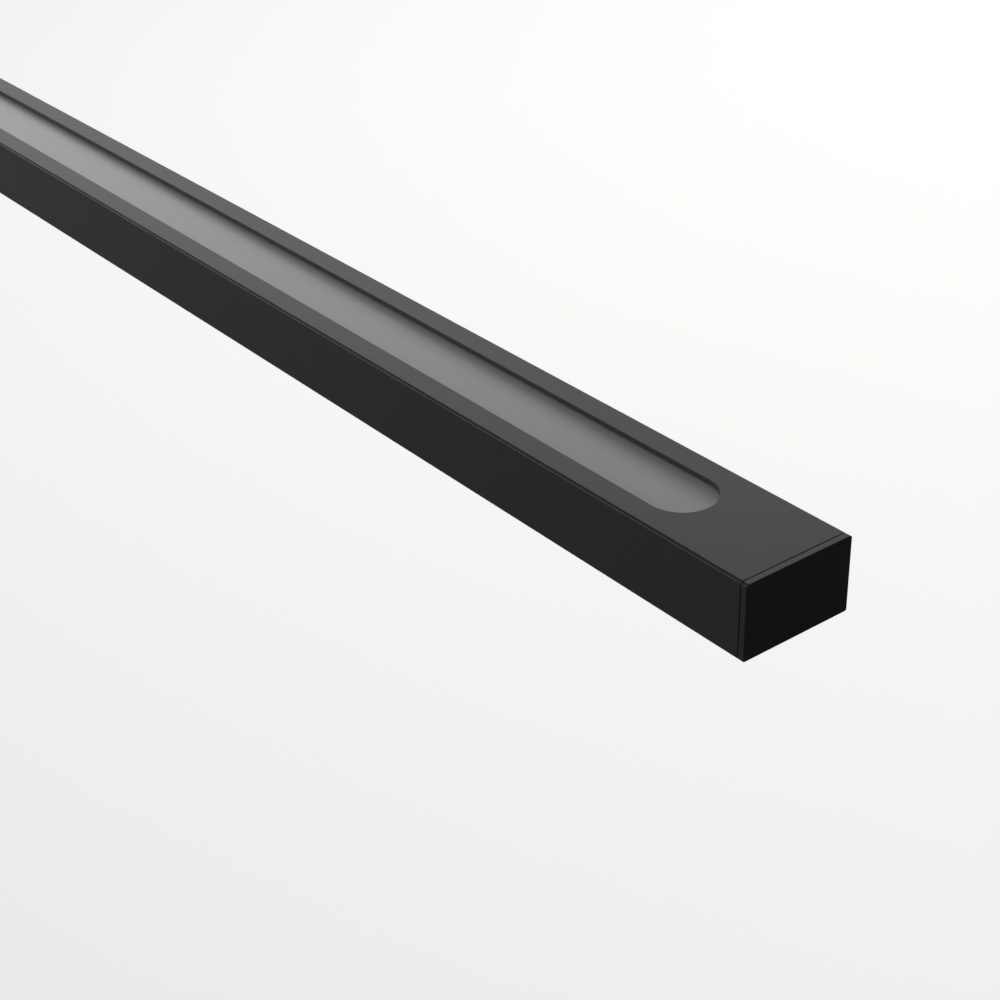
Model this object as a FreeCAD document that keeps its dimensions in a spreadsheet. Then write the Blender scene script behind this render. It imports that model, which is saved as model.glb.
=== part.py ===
import FreeCAD, Part
import math
import os
import re
import Sketcher

# Slim wall light bar for a mirror: an aluminium channel with a snapped-in front panel, a long
# round-ended light window, flat end caps and a steel wall bracket closing the back.
# Frame: X along the bar, Y across it, Z from the wall face (Z = 0) out to the front panel.
# The origin is the middle of the wall face. All sizes are in millimetres.

DIMENSIONS = {
    # outer envelope
    "overall_length": 900.0,
    "overall_width": 50.0,
    "overall_height": 31.0,
    "wall_thickness": 1.0,
    "step_rise": 0.5,
    "back_corner_radius": 0.7,
    "edge_break": 0.2,
    "bead_radius": 0.3,
    "rim_break": 0.15,
    # channel extrusion
    "web_level": 14.5,
    "web_thickness": 1.5,
    "catch_rib_level": 25.2,
    "catch_rib_reach": 0.6,
    "back_rib_level": 3.5,
    "back_rib_rise": 4.5,
    "back_rib_reach": 2.0,
    # front panel and light window
    "panel_thickness": 1.2,
    "rim_thickness": 2.0,
    "panel_gap": 0.1,
    "window_length": 810.0,
    "window_width": 28.0,
    "leg_outside": 23.35,
    "leg_thickness": 1.2,
    "leg_foot_level": 23.0,
    "barb_reach": 0.5,
    "barb_rise": 1.9,
    "rail_reach": 1.0,
    "rail_level": 25.3,
    "light_seal_setback": 1.0,
    "light_seal_thickness": 0.4,
    "diffuser_thickness": 2.0,
    "diffuser_length": 852.0,
    # end caps and their foam seals
    "cap_thickness": 2.5,
    "seal_thickness": 0.5,
    "seal_inset": 0.3,
    "spigot_width": 40.0,
    "spigot_level": 17.0,
    "spigot_rise": 4.5,
    "spigot_reach": 4.0,
    "tongue_width": 24.0,
    "tongue_level": 12.4,
    "tongue_thickness": 2.0,
    "tongue_reach": 10.0,
    "cap_screw_inset": 9.0,
    "cap_screw_offset": 8.0,
    # lamp boards
    "board_length": 280.0,
    "board_gap": 2.0,
    "board_width": 24.0,
    "board_thickness": 1.6,
    "board_screw_reach": 125.0,
    "board_screw_offset": 8.5,
    "chip_length": 3.5,
    "chip_width": 2.8,
    "chip_rise": 0.8,
    "chip_pitch": 7.1,
    "chips_per_board": 39,
    "link_length": 10.0,
    "link_width": 5.0,
    "link_rise": 3.0,
    # wall bracket
    "bracket_length": 872.0,
    "bracket_half_width": 21.8,
    "bracket_sheet": 1.5,
    "flange_top": 9.7,
    "lip_reach": 1.6,
    "bend_inside": 0.4,
    "bend_outside": 1.7,
    "boss_round": 0.6,
    "box_slot_spacing": 88.9,
    "wall_slot_spacing": 700.0,
    "slot_width": 5.0,
    "slot_run": 14.0,
    "boss_radius": 15.0,
    "boss_rise": 2.0,
    "cable_hole_radius": 8.0,
    "grommet_flange_radius": 11.0,
    "grommet_bore_radius": 5.0,
    "grommet_flange": 1.4,
    "set_screw_level": 5.75,
    "set_screw_spacing": 300.0,
    "set_screw_radius": 1.95,
    "set_screw_hole_radius": 2.0,
    # M3 fasteners
    "screw_radius": 1.45,
    "screw_hole_radius": 1.5,
    "head_radius": 2.75,
    "head_rise": 1.8,
    # lead grommet in the web
    "lead_hole_centre": 430.0,
    "lead_hole_radius": 3.5,
    "lead_flange_radius": 4.8,
    "lead_flange": 1.0,
    "lead_bore_radius": 2.4,
    # driver
    "driver_start": 130.0,
    "driver_length": 180.0,
    "driver_width": 30.0,
    "driver_floor_level": 3.0,
    "driver_wall": 1.2,
    "driver_base_thickness": 1.5,
    "driver_ear": 8.0,
    "driver_board_thickness": 1.6,
    # terminal block and earth tag
    "block_start": 60.0,
    "block_length": 20.0,
    "block_width": 26.0,
    "block_rise": 9.0,
    "pole_pitch": 8.0,
    "pole_level": 9.5,
    "sleeve_radius": 2.5,
    "sleeve_bore_radius": 1.5,
    "clamp_screw_radius": 1.25,
    "clamp_hole_radius": 1.3,
    "clamp_screw_reach": 5.0,
    "earth_x": 105.0,
    "earth_y": 15.0,
    "tag_radius": 4.0,
    "tag_thickness": 0.8,
    # insulated leads
    "mains_lead_radius": 1.0,
    "lamp_lead_radius": 0.8,
    "lamp_lead_offset": 1.1,
}

HALF_WIDTH = "overall_width / 2"
INNER_HALF = "(overall_width / 2 - wall_thickness)"
BODY_LENGTH = "(overall_length - 2 * (cap_thickness + seal_thickness))"
WALL_TOP = "(overall_height - step_rise)"
WEB_TOP = "(web_level + web_thickness)"
WEB_MIDDLE = "(web_level + web_thickness / 2)"
BOARD_TOP = "(web_level + web_thickness + board_thickness)"
PANEL_UNDER = "(overall_height - panel_thickness)"
RIM_UNDER = "(overall_height - rim_thickness)"
PANEL_HALF = "(overall_width / 2 - wall_thickness - panel_gap)"
DIFFUSER_HALF = "(leg_outside - leg_thickness - 0.15)"
DRIVER_CENTRE = "(driver_start + driver_length / 2)"
DRIVER_LID_LEVEL = "(web_level - driver_base_thickness)"
BLOCK_CENTRE = "(block_start + block_length / 2)"
BLOCK_FOOT = "(web_level - block_rise)"
SCREW_END = "(web_level + 0.1)"

doc = FreeCAD.newDocument("VanityLightBar")
sheet = doc.addObject("Spreadsheet::Sheet", "Dimensions")
for row, (alias, number) in enumerate(DIMENSIONS.items(), start=1):
    sheet.set(f"A{row}", alias)
    sheet.set(f"B{row}", str(number))
    sheet.setAlias(f"B{row}", alias)
doc.recompute()


def size(alias):
    """The number in the sheet's cell of this alias."""
    return float(sheet.get(alias))


def linked(text):
    """An expression with each alias turned into a reference to its sheet cell."""
    return re.sub(
        r"[a-z_]+",
        lambda word: "Dimensions." + word.group(0) if word.group(0) in DIMENSIONS else word.group(0),
        str(text),
    )


def bind(target, prop, text):
    target.setExpression(prop, linked(text))


# ---------------------------------------------------------------- outlines for sketches


def measure(sketch, name, kind, where, text):
    """One driving dimension of a sketch, bound to the sheet."""
    sketch.addConstraint(Sketcher.Constraint(kind, *where, 1.0))
    sketch.renameConstraint(sketch.ConstraintCount - 1, name)
    bind(sketch, f"Constraints.{name}", text)


def rectangle(left, low, width, rise):
    """A rectangle given by its lower left corner and its two sides."""

    def draw(sketch, tag):
        corners = [FreeCAD.Vector(*spot, 0) for spot in ((0, 0), (1, 0), (1, 1), (0, 1))]
        first = sketch.GeometryCount
        for start, end in zip(corners, corners[1:] + corners[:1]):
            sketch.addGeometry(Part.LineSegment(start, end), False)
        for side in range(4):
            sketch.addConstraint(
                Sketcher.Constraint("Coincident", first + side, 2, first + (side + 1) % 4, 1)
            )
            direction = "Vertical" if side % 2 else "Horizontal"
            sketch.addConstraint(Sketcher.Constraint(direction, first + side))
        measure(sketch, tag + "left", "DistanceX", (-1, 1, first, 1), left)
        measure(sketch, tag + "low", "DistanceY", (-1, 1, first, 1), low)
        measure(sketch, tag + "width", "DistanceX", (first, 1, first, 2), width)
        measure(sketch, tag + "rise", "DistanceY", (first + 1, 1, first + 1, 2), rise)

    return draw


def strip(half_width, low, rise):
    """A rectangle centred on the sketch's vertical axis."""
    return rectangle(f"-({half_width})", low, f"2 * ({half_width})", rise)


def pair(inner, low, reach, rise):
    """Two equal rectangles, mirror images about the sketch's vertical axis."""
    return [
        rectangle(inner, low, reach, rise),
        rectangle(f"-({inner}) - ({reach})", low, reach, rise),
    ]


def circle(across, along, radius):
    """A circle given by its centre and radius."""

    def draw(sketch, tag):
        ring = Part.Circle(FreeCAD.Vector(0, 0, 0), FreeCAD.Vector(0, 0, 1), 1.0)
        index = sketch.addGeometry(ring, False)
        measure(sketch, tag + "across", "DistanceX", (-1, 1, index, 3), across)
        measure(sketch, tag + "along", "DistanceY", (-1, 1, index, 3), along)
        measure(sketch, tag + "radius", "Radius", (index,), radius)

    return draw


def stadium(centre, length, width):
    """A round-ended slot along the sketch's X axis, centred at X = centre."""

    def draw(sketch, tag):
        up = FreeCAD.Vector(0, 0, 1)
        quarter = math.pi / 2
        right_ring = Part.Circle(FreeCAD.Vector(3, 0, 0), up, 1.0)
        left_ring = Part.Circle(FreeCAD.Vector(-3, 0, 0), up, 1.0)
        right = sketch.addGeometry(Part.ArcOfCircle(right_ring, -quarter, quarter), False)
        left = sketch.addGeometry(Part.ArcOfCircle(left_ring, quarter, 3 * quarter), False)
        top_line = Part.LineSegment(FreeCAD.Vector(3, 1, 0), FreeCAD.Vector(-3, 1, 0))
        low_line = Part.LineSegment(FreeCAD.Vector(-3, -1, 0), FreeCAD.Vector(3, -1, 0))
        top = sketch.addGeometry(top_line, False)
        low = sketch.addGeometry(low_line, False)
        for start, end in ((right, top), (top, left), (left, low), (low, right)):
            sketch.addConstraint(Sketcher.Constraint("Tangent", start, 2, end, 1))
        sketch.addConstraint(Sketcher.Constraint("Horizontal", top))
        half_run = f"(({length}) - ({width})) / 2"
        measure(sketch, tag + "right_x", "DistanceX", (-1, 1, right, 3), f"({centre}) + {half_run}")
        measure(sketch, tag + "left_x", "DistanceX", (-1, 1, left, 3), f"({centre}) - {half_run}")
        measure(sketch, tag + "right_y", "DistanceY", (-1, 1, right, 3), "0")
        measure(sketch, tag + "left_y", "DistanceY", (-1, 1, left, 3), "0")
        measure(sketch, tag + "radius", "Radius", (right,), f"({width}) / 2")

    return draw


# ---------------------------------------------------------------- bodies and their features


def new_body(label):
    body = doc.addObject("PartDesign::Body", label)
    body.Label = label
    body.AllowCompound = True
    return body


def origin_item(body, role):
    return next(item for item in body.Origin.OriginFeatures if item.Role == role)


def prism(body, name, role, middle, depth, outlines, cut=False):
    """A pad or pocket drawn on an origin plane moved by middle, half its depth to each side."""
    sketch = body.newObject("Sketcher::SketchObject", f"{body.Name}_{name}_sketch")
    sketch.AttachmentSupport = [(origin_item(body, role), "")]
    sketch.MapMode = "FlatFace"
    bind(sketch, "AttachmentOffset.Base.z", middle)
    for index, draw in enumerate(outlines):
        draw(sketch, f"outline{index}_")
    kind = "PartDesign::Pocket" if cut else "PartDesign::Pad"
    feature = body.newObject(kind, f"{body.Name}_{name}")
    feature.Profile = sketch
    feature.SideType = "Symmetric"
    bind(feature, "Length", depth)
    return feature


def slab(body, name, low, rise, outlines, cut=False):
    """A pad or pocket along Z from low to low + rise, its outlines drawn in X and Y."""
    return prism(body, name, "XY_Plane", f"({low}) + ({rise}) / 2", rise, outlines, cut)


def run(body, name, low, length, outlines, cut=False):
    """A pad or pocket along X from low to low + length, its outlines drawn in Y and Z."""
    return prism(body, name, "YZ_Plane", f"({low}) + ({length}) / 2", length, outlines, cut)


def full_run(body, name, length, outlines, cut=False):
    """A pad or pocket along X, centred on the bar's middle."""
    return prism(body, name, "YZ_Plane", "0", length, outlines, cut)


def round_edges(body, name, base, radius, wanted):
    """Round the edges of the last feature whose bounding boxes are wanted."""
    doc.recompute()
    edges = enumerate(base.Shape.Edges, start=1)
    names = [f"Edge{index}" for index, edge in edges if wanted(edge.BoundBox)]
    fillet = body.newObject("PartDesign::Fillet", f"{body.Name}_{name}")
    fillet.Base = (base, names)
    bind(fillet, "Radius", radius)
    return fillet


def close(first, second):
    return abs(first - second) < 0.001


def soften(body, name, base, radius, across, level):
    """Round the long edges of the last feature that lie at Y = +-across and Z = level."""

    def lies_there(box):
        flat = close(box.ZMin, level) and close(box.ZMax, level)
        return flat and close(box.YMin, box.YMax) and close(abs(box.YMax), across)

    return round_edges(body, name, base, radius, lies_there)


def pan_screws(label, spots, seat, point, head_below):
    """M3 pan head screws at these X, Y spots, with the head's seat and the point as Z levels."""
    body = new_body(label)
    shanks = [circle(across, along, "screw_radius") for across, along in spots]
    heads = [circle(across, along, "head_radius") for across, along in spots]
    if head_below:
        slab(body, "shanks", seat, f"({point}) - ({seat})", shanks)
        slab(body, "heads", f"({seat}) - head_rise", "head_rise", heads)
    else:
        slab(body, "shanks", point, f"({seat}) - ({point})", shanks)
        slab(body, "heads", seat, "head_rise", heads)


# ---------------------------------------------------------------- places shared by several pieces

board_centres = [f"({step}) * (board_length + board_gap)" for step in (-1, 0, 1)]
board_screw_places = [(-1, 1), (0, -1), (1, 1)]
board_screw_spots = [
    (f"{centre} + ({side}) * board_screw_reach", f"({across}) * board_screw_offset")
    for centre in board_centres
    for side, across in board_screw_places
]
cap_screw_spots = [
    (f"({side}) * (overall_length / 2 - cap_screw_inset)", f"({across}) * cap_screw_offset")
    for side in (-1, 1)
    for across in (-1, 1)
]
driver_screw_spots = [
    ("driver_start - driver_ear / 2", "0"),
    ("driver_start + driver_length + driver_ear / 2", "0"),
]
block_screw_spots = [(BLOCK_CENTRE, f"({side}) * pole_pitch / 2") for side in (-1, 1)]
earth_screw_spots = [("earth_x", "earth_y")]
web_screw_spots = (
    board_screw_spots + cap_screw_spots + driver_screw_spots + block_screw_spots + earth_screw_spots
)
set_screw_places = [f"({step}) * set_screw_spacing" for step in (-1, 0, 1)]
pole_offsets = [f"({step}) * pole_pitch" for step in (-1, 0, 1)]
slot_places = [
    f"({side}) * {spacing} / 2" for spacing in ("box_slot_spacing", "wall_slot_spacing") for side in (-1, 1)
]


# ---------------------------------------------------------------- shell


def make_housing():
    """Channel extrusion: two walls and a web, with catch ribs for the panel and back ribs."""
    body = new_body("housing")
    full_run(body, "blank", BODY_LENGTH, [strip(HALF_WIDTH, "0", WALL_TOP)])
    front = strip(INNER_HALF, WEB_TOP, f"{WALL_TOP} - {WEB_TOP} + 1")
    full_run(body, "front_channel", BODY_LENGTH, [front], cut=True)
    full_run(body, "back_channel", BODY_LENGTH, [strip(INNER_HALF, "-1", "web_level + 1")], cut=True)
    catch_rise = f"{PANEL_UNDER} - catch_rib_level"
    catch = pair(f"{INNER_HALF} - catch_rib_reach", "catch_rib_level", "catch_rib_reach", catch_rise)
    full_run(body, "catch_ribs", BODY_LENGTH, catch)
    back = pair(f"{INNER_HALF} - back_rib_reach", "back_rib_level", "back_rib_reach", "back_rib_rise")
    full_run(body, "back_ribs", BODY_LENGTH, back)
    holes = [circle(across, along, "screw_hole_radius") for across, along in web_screw_spots]
    holes.append(circle("lead_hole_centre", "0", "lead_hole_radius"))
    slab(body, "web_holes", "web_level - 0.5", "web_thickness + 1", holes, cut=True)
    set_holes = [circle(place, "set_screw_level", "set_screw_hole_radius") for place in set_screw_places]
    set_middle = f"-({HALF_WIDTH} - (wall_thickness + back_rib_reach) / 2)"
    set_depth = "wall_thickness + back_rib_reach + 1"
    holes_in_wall = prism(
        body, "set_screw_holes", "XZ_Plane", set_middle, set_depth, set_holes, cut=True
    )
    half = size("overall_width") / 2
    back_corners = soften(body, "back_corners", holes_in_wall, "back_corner_radius", half, 0)
    wall_top = size("overall_height") - size("step_rise")
    soften(body, "front_corners", back_corners, "bead_radius", half, wall_top)


def make_front_panel():
    """Snap-in panel: a plate, thicker between its two barbed legs, with the light window."""
    body = new_body("front_panel")
    leg_inside = "leg_outside - leg_thickness"
    leg_rise = f"{PANEL_UNDER} - leg_foot_level"
    full_run(body, "plate", BODY_LENGTH, [strip(PANEL_HALF, PANEL_UNDER, "panel_thickness")])
    thicker = strip(leg_inside, RIM_UNDER, f"{PANEL_UNDER} - {RIM_UNDER} + 0.1")
    full_run(body, "thick_middle", BODY_LENGTH, [thicker])
    full_run(body, "legs", BODY_LENGTH, pair(leg_inside, "leg_foot_level", "leg_thickness", leg_rise))
    full_run(body, "barbs", BODY_LENGTH, pair("leg_outside", "leg_foot_level", "barb_reach", "barb_rise"))
    rails = pair(f"{leg_inside} - rail_reach", "rail_level", "rail_reach", "1.2")
    full_run(body, "rails", BODY_LENGTH, rails)
    window = [stadium("0", "window_length", "window_width")]
    cut = slab(body, "window", f"{RIM_UNDER} - 0.1", "rim_thickness + 0.2", window, cut=True)
    half = size("overall_width") / 2 - size("wall_thickness") - size("panel_gap")
    front = size("overall_height")
    long_edges = soften(body, "long_edges", cut, "edge_break", half, front)
    reach = size("window_width") / 2 + 0.01

    def on_window_rim(box):
        return close(box.ZMin, front) and close(box.ZMax, front) and max(box.YMax, -box.YMin) < reach

    round_edges(body, "window_rim", long_edges, "rim_break", on_window_rim)


def diffuser_outline():
    width = f"2 * {DIFFUSER_HALF}"
    return rectangle("-diffuser_length / 2", f"-{DIFFUSER_HALF}", "diffuser_length", width)


def make_light_seal():
    """Black foam frame between the panel and the diffuser, its opening set back from the window."""
    body = new_body("light_seal")
    low = f"({RIM_UNDER} - light_seal_thickness)"
    slab(body, "frame", low, "light_seal_thickness", [diffuser_outline()])
    opening = stadium(
        "0", "window_length + 2 * light_seal_setback", "window_width + 2 * light_seal_setback"
    )
    slab(body, "opening", f"{low} - 0.5", "light_seal_thickness + 1", [opening], cut=True)


def make_diffuser():
    """Opal plate behind the light seal, carried by the rails of the panel's legs."""
    body = new_body("diffuser")
    low = f"({RIM_UNDER} - light_seal_thickness - diffuser_thickness)"
    slab(body, "plate", low, "diffuser_thickness", [diffuser_outline()])


def make_end_cap(label, side):
    """Flat cap with the bar's stepped outline, a spigot for the front channel and a screw tongue."""
    body = new_body(label)
    inner_face = f"({side}) * (overall_length / 2 - cap_thickness)"
    cap_low = "overall_length / 2 - cap_thickness" if side > 0 else "-overall_length / 2"
    run(body, "plate", cap_low, "cap_thickness", [strip(HALF_WIDTH, "0", WALL_TOP)])
    step_outline = [strip(PANEL_HALF, f"{WALL_TOP} - 1", "step_rise + 1")]
    run(body, "step", cap_low, "cap_thickness", step_outline)
    spigot_length = "(seal_thickness + spigot_reach)"
    tongue_length = "(seal_thickness + tongue_reach)"
    spigot_low = inner_face if side < 0 else f"{inner_face} - {spigot_length}"
    tongue_low = inner_face if side < 0 else f"{inner_face} - {tongue_length}"
    run(body, "spigot", spigot_low, spigot_length, [strip("spigot_width / 2", "spigot_level", "spigot_rise")])
    tongue_outline = [strip("tongue_width / 2", "tongue_level", "tongue_thickness")]
    run(body, "tongue", tongue_low, tongue_length, tongue_outline)
    holes = [
        circle(f"({side}) * (overall_length / 2 - cap_screw_inset)", f"({across}) * cap_screw_offset",
               "screw_hole_radius")
        for across in (-1, 1)
    ]
    last = slab(body, "screw_holes", "tongue_level - 0.5", "tongue_thickness + 1", holes, cut=True)
    corners = soften(body, "back_corners", last, "back_corner_radius", size("overall_width") / 2, 0)
    wall_top = size("overall_height") - size("step_rise")
    front = soften(body, "front_corners", corners, "bead_radius", size("overall_width") / 2, wall_top)
    half = size("overall_width") / 2 - size("wall_thickness") - size("panel_gap")
    steps = soften(body, "step_corners", front, "edge_break", half, size("overall_height"))
    outside = side * size("overall_length") / 2

    def on_outer_face(box):
        return close(box.XMin, outside) and close(box.XMax, outside)

    round_edges(body, "outer_edges", steps, "rim_break", on_outer_face)


def make_end_seal(label, side):
    """Thin foam sheet between a cap and the extrusion, with openings for the spigot and tongue."""
    body = new_body(label)
    low = "overall_length / 2 - cap_thickness - seal_thickness"
    if side < 0:
        low = "cap_thickness - overall_length / 2"
    outline = strip(f"{HALF_WIDTH} - seal_inset", "seal_inset", f"{WALL_TOP} - 2 * seal_inset")
    run(body, "sheet", low, "seal_thickness", [outline])
    openings = [
        strip("spigot_width / 2 + 0.2", "spigot_level - 0.2", "spigot_rise + 0.4"),
        strip("tongue_width / 2 + 0.2", "tongue_level - 0.2", "tongue_thickness + 0.4"),
    ]
    run(body, "openings", f"{low} - 0.5", "seal_thickness + 1", openings, cut=True)


# ---------------------------------------------------------------- lamp boards


def make_board(label, centre):
    """Aluminium-core lamp board screwed to the front of the web."""
    body = new_body(label)
    outline = rectangle(f"{centre} - board_length / 2", "-board_width / 2", "board_length", "board_width")
    slab(body, "plate", WEB_TOP, "board_thickness", [outline])
    holes = [
        circle(f"{centre} + ({side}) * board_screw_reach", f"({across}) * board_screw_offset",
               "screw_hole_radius")
        for side, across in board_screw_places
    ]
    slab(body, "holes", f"{WEB_TOP} - 0.5", "board_thickness + 1", holes, cut=True)


def make_chips(label, centre):
    """One row of surface-mounted lamps along the middle of a board."""
    body = new_body(label)
    row_length = "chip_pitch * (chips_per_board - 1)"
    first = rectangle(
        f"{centre} - ({row_length}) / 2 - chip_length / 2", "-chip_width / 2", "chip_length", "chip_width"
    )
    chip = slab(body, "chip", BOARD_TOP, "chip_rise", [first])
    row = body.newObject("PartDesign::LinearPattern", f"{body.Name}_row")
    row.Originals = [chip]
    row.Direction = (origin_item(body, "X_Axis"), [""])
    bind(row, "Length", row_length)
    bind(row, "Occurrences", "chips_per_board")
    body.Tip = row


def make_board_links():
    """Plug-in links that carry the supply from one lamp board to the next."""
    body = new_body("board_links")
    outlines = [
        rectangle(f"({side}) * (board_length + board_gap) / 2 - link_length / 2",
                  "board_screw_offset - link_width / 2", "link_length", "link_width")
        for side in (-1, 1)
    ]
    slab(body, "blocks", BOARD_TOP, "link_rise", outlines)


# ---------------------------------------------------------------- wall bracket and grommets


def make_wall_bracket():
    """Folded steel plate: slotted base, two flanges, a hook lip on one, a raised cable boss."""
    body = new_body("wall_bracket")
    full_run(body, "base", "bracket_length", [strip("bracket_half_width", "0", "bracket_sheet")])
    flange_rise = "flange_top - bracket_sheet"
    flanges = pair("bracket_half_width - bracket_sheet", "bracket_sheet", "bracket_sheet", flange_rise)
    full_run(body, "flanges", "bracket_length", flanges)
    lip = rectangle(
        "-bracket_half_width - lip_reach", "flange_top - bracket_sheet", "lip_reach", "bracket_sheet"
    )
    full_run(body, "lip", "bracket_length", [lip])
    boss = [circle("0", "0", "boss_radius")]
    slab(body, "boss", "bracket_sheet", "boss_rise", boss)
    hollow = [circle("0", "0", "boss_radius - bracket_sheet")]
    slab(body, "boss_hollow", "-1", "boss_rise + 1", hollow, cut=True)
    slab(body, "cable_hole", "boss_rise - 0.5", "bracket_sheet + 1", [circle("0", "0", "cable_hole_radius")],
         cut=True)
    slots = [stadium(place, "slot_run", "slot_width") for place in slot_places]
    slotted = slab(body, "slots", "-0.5", "bracket_sheet + 1", slots, cut=True)
    half = size("bracket_half_width")
    thickness = size("bracket_sheet")
    outside = soften(body, "bends_outside", slotted, "bend_outside", half, 0)
    inside = soften(body, "bends_inside", outside, "bend_inside", half - thickness, thickness)
    boss_top = thickness + size("boss_rise")
    boss_reach = size("boss_radius")

    def on_boss_rim(box):
        return close(box.ZMin, boss_top) and close(box.ZMax, boss_top) and close(box.XMax, boss_reach)

    round_edges(body, "boss_rim", inside, "boss_round", on_boss_rim)


def make_grommet(label, centre, sheet_low, sheet_rise, hole, flange, flange_rise, bore):
    """Rubber bush with a groove that holds the edge of a hole in sheet metal."""
    body = new_body(label)
    low = f"({sheet_low} - {flange_rise})"
    total = f"({sheet_rise} + 2 * {flange_rise})"
    slab(body, "neck", low, total, [circle(centre, "0", hole)])
    slab(body, "back_flange", low, flange_rise, [circle(centre, "0", flange)])
    slab(body, "front_flange", f"{sheet_low} + {sheet_rise}", flange_rise, [circle(centre, "0", flange)])
    slab(body, "bore", f"{low} - 0.5", f"{total} + 1", [circle(centre, "0", bore)], cut=True)


def make_set_screws():
    """Headless M4 screws that clamp the housing's wall rib to the bracket's plain flange."""
    body = new_body("bracket_set_screws")
    outlines = [circle(place, "set_screw_level", "set_screw_radius") for place in set_screw_places]
    outer = f"({HALF_WIDTH} - 0.1)"
    inner = "(bracket_half_width + 0.02)"
    middle = f"-({outer} + {inner}) / 2"
    prism(body, "shanks", "XZ_Plane", middle, f"{outer} - {inner}", outlines)
    sockets = [circle(place, "set_screw_level", "1.0") for place in set_screw_places]
    prism(body, "sockets", "XZ_Plane", f"-{outer}", "3", sockets, cut=True)


# ---------------------------------------------------------------- driver


def make_driver():
    """Constant-current driver: a flat base with ears, a snap-on cover, a board and its components."""
    base = new_body("driver_base")
    base_outline = rectangle(
        "driver_start - driver_ear", "-driver_width / 2", "driver_length + 2 * driver_ear", "driver_width"
    )
    slab(base, "plate", DRIVER_LID_LEVEL, "driver_base_thickness", [base_outline])
    ear_holes = [circle(across, along, "screw_hole_radius") for across, along in driver_screw_spots]
    slab(base, "ear_holes", f"{DRIVER_LID_LEVEL} - 0.5", "driver_base_thickness + 1", ear_holes, cut=True)

    cover = new_body("driver_cover")
    cover_rise = f"({DRIVER_LID_LEVEL} - driver_floor_level)"
    outer = rectangle("driver_start", "-driver_width / 2", "driver_length", "driver_width")
    slab(cover, "shell", "driver_floor_level", cover_rise, [outer])
    inner = rectangle(
        "driver_start + driver_wall", "driver_wall - driver_width / 2",
        "driver_length - 2 * driver_wall", "driver_width - 2 * driver_wall",
    )
    slab(cover, "hollow", "driver_floor_level + driver_wall", cover_rise, [inner], cut=True)
    lead_notch = [rectangle("-6", "driver_floor_level + 3", "12", "5")]
    run(cover, "lead_notches", "driver_start - 1", "driver_length + 2", lead_notch, cut=True)

    board = new_body("driver_board")
    board_low = f"({DRIVER_LID_LEVEL} - driver_board_thickness)"
    board_outline = rectangle("driver_start + 12", "-12", "driver_length - 24", "24")
    slab(board, "plate", board_low, "driver_board_thickness", [board_outline])

    make_component("driver_transformer", board_low, [rectangle("215", "-8", "20", "16")], "6")
    chokes = [rectangle("158", "-9", "11", "10"), rectangle("270", "-5", "12", "10")]
    make_component("driver_chokes", board_low, chokes, "5.5")
    blocks = [
        rectangle("172", "2", "13", "6"),
        rectangle("188", "-10", "6", "9"),
        rectangle("246", "2", "10", "4.5"),
    ]
    make_component("driver_film_capacitors", board_low, blocks, "5")
    chips = [rectangle("209", "2", "5", "6"), rectangle("240", "-9", "5", "6")]
    make_component("driver_switching_chips", board_low, chips, "1.6")
    fuse = [rectangle("147", "5", "8", "4")]
    make_component("driver_fuse", board_low, fuse, "4")

    drums = new_body("driver_capacitor_drums")
    drum_level = f"{board_low} - 3.2"
    run(drums, "mains_drum", "192", "16", [circle("7", drum_level, "3.1")])
    run(drums, "output_drum", "252", "14", [circle("-6", drum_level, "3.1")])


def make_component(label, board_low, outlines, rise):
    """Parts that hang from the back of the driver's board."""
    slab(new_body(label), "blocks", f"{board_low} - ({rise})", rise, outlines)


# ---------------------------------------------------------------- mains connection


def make_terminal_block():
    """Three-pole screw terminal: a moulded block, brass sleeves and their clamp screws."""
    block = new_body("terminal_block")
    outline = rectangle("block_start", "-block_width / 2", "block_length", "block_width")
    slab(block, "body", BLOCK_FOOT, "block_rise", [outline])
    bores = [circle(offset, "pole_level", "sleeve_radius + 0.05") for offset in pole_offsets]
    run(block, "sleeve_bores", "block_start - 1", "block_length + 2", bores, cut=True)
    clamp_spots = [
        (f"{BLOCK_CENTRE} + ({side}) * clamp_screw_reach", offset)
        for side in (-1, 1)
        for offset in pole_offsets
    ]
    wells = [circle(across, along, "clamp_hole_radius + 0.4") for across, along in clamp_spots]
    slab(block, "clamp_wells", f"{BLOCK_FOOT} - 1", f"pole_level - {BLOCK_FOOT} + 1", wells, cut=True)
    fixing_holes = [circle(across, along, "screw_hole_radius") for across, along in block_screw_spots]
    slab(block, "fixing_holes", f"{BLOCK_FOOT} - 1", "block_rise + 2", fixing_holes, cut=True)

    sleeves = new_body("terminal_sleeves")
    sleeve_low = "block_start + 1"
    sleeve_run = "block_length - 2"
    run(sleeves, "barrels", sleeve_low, sleeve_run,
        [circle(offset, "pole_level", "sleeve_radius") for offset in pole_offsets])
    run(sleeves, "bores", f"{sleeve_low} - 1", f"{sleeve_run} + 2",
        [circle(offset, "pole_level", "sleeve_bore_radius") for offset in pole_offsets], cut=True)
    clamp_holes = [circle(across, along, "clamp_hole_radius") for across, along in clamp_spots]
    slab(sleeves, "clamp_holes", "pole_level - 4", "4", clamp_holes, cut=True)

    screws = new_body("terminal_clamp_screws")
    shanks = [circle(across, along, "clamp_screw_radius") for across, along in clamp_spots]
    slab(screws, "shanks", f"{BLOCK_FOOT} + 0.3", f"pole_level - 1.1 - {BLOCK_FOOT} - 0.3", shanks)


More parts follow.
